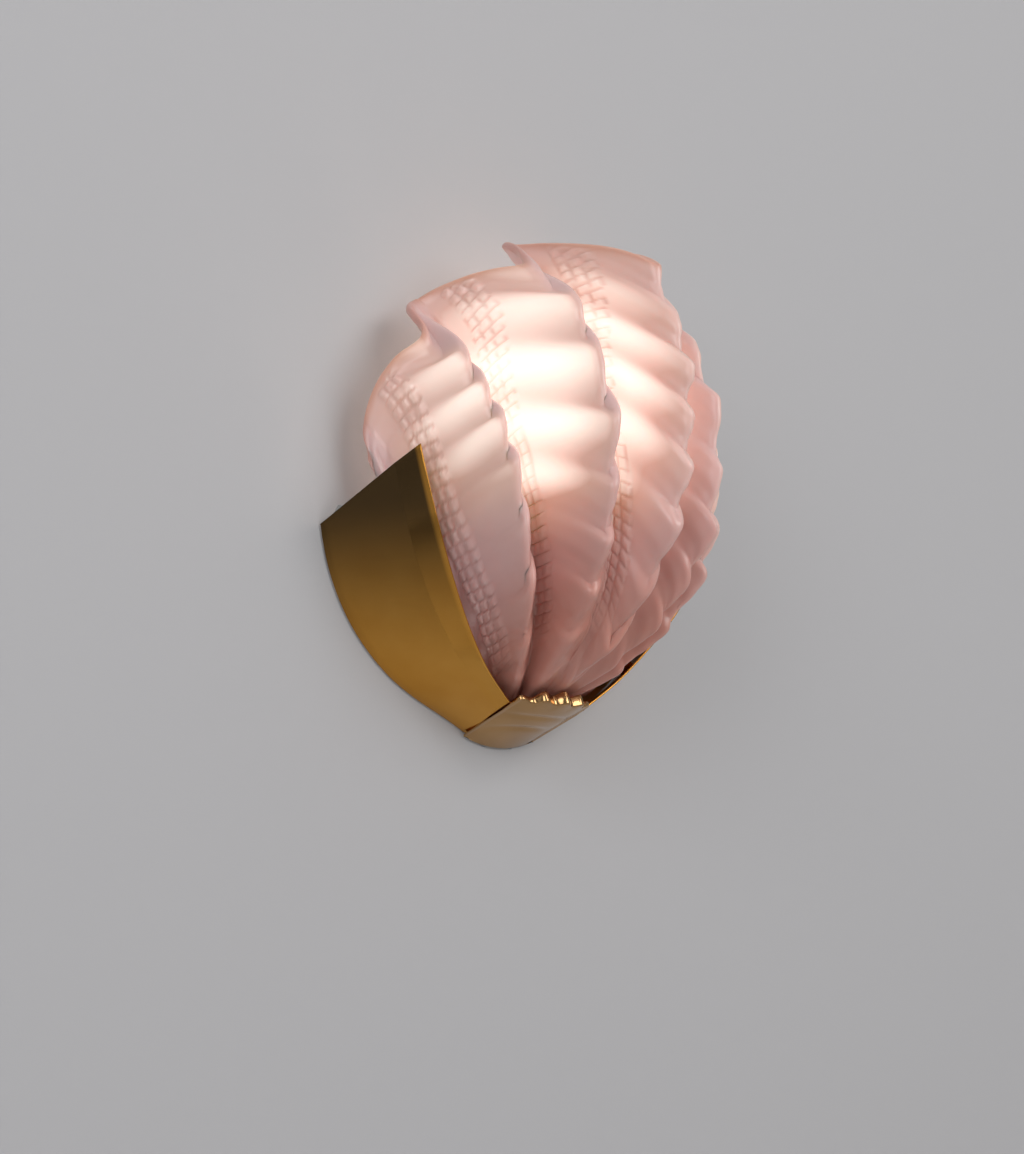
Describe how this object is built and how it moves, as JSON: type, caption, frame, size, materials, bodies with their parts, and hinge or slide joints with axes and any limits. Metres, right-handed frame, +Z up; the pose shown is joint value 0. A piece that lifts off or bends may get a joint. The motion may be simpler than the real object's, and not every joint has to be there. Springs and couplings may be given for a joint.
{
  "type": "wall sconce",
  "caption": "Wall sconce with a ruffled shell of pink satin glass held between two curved brass cheeks and a scalloped cast toe.",
  "frame": {"origin": "midway between the two wall fixing holes, at the back face of the back plate", "axes": "+Z up, +X to the right along the wall as seen from the room, -Y out from the wall into the room"},
  "size_m": [0.254, 0.1574, 0.2856],
  "materials": {
    "pink_glass": "satin",
    "polished_brass": "polished",
    "cast_brass": "polished",
    "plate_brass": "satin",
    "turned_brass": "satin",
    "brass_screws": "polished",
    "steel_screws": "satin",
    "zinc_steel": "satin",
    "black_rubber": "matte",
    "porcelain": "gloss",
    "brown_insulation": "matte",
    "blue_insulation": "matte",
    "green_insulation": "matte",
    "white_nylon": "satin",
    "lamp_cap": "satin",
    "lamp_insulator": "gloss",
    "lit_glass": "satin"
  },
  "bodies": {
    "frame": {"left_cheek": "polished_brass", "right_cheek": "polished_brass", "toe_casting": "cast_brass", "toe_screws": "steel_screws", "cheek_screws": "brass_screws", "back_plate": "plate_brass", "seat_pad": "black_rubber", "lamp_bracket": "zinc_steel", "bracket_screws": "steel_screws", "nipple": "steel_screws", "nipple_nut": "steel_screws", "lock_washer": "steel_screws", "holder_cup": "turned_brass", "holder_body": "porcelain", "holder_sleeve": "turned_brass", "centre_contact": "turned_brass", "live_wire": "brown_insulation", "neutral_wire": "blue_insulation", "earth_wire": "green_insulation", "terminal_block": "white_nylon", "terminal_inserts": "brass_screws", "terminal_screws": "steel_screws", "cable_grommet": "black_rubber", "earth_screw": "steel_screws", "earth_tag": "zinc_steel"},
    "shade": {"glass_shade": "pink_glass"},
    "bulb": {"bulb_cap": "lamp_cap", "bulb_contact": "lamp_insulator", "bulb_glass": "lit_glass"}
  },
  "joints": [
    {"name": "shade_lift", "type": "slide", "parent": "frame", "child": "shade", "axis": [0, -0.9063, 0.4226], "range_m": [0, 0.18]},
    {"name": "bulb_turn", "type": "hinge", "parent": "frame", "child": "bulb", "pos_m": [0, -0.0485, 0], "axis": [0, 0, 1], "range_deg": [-900, 0]}
  ]
}
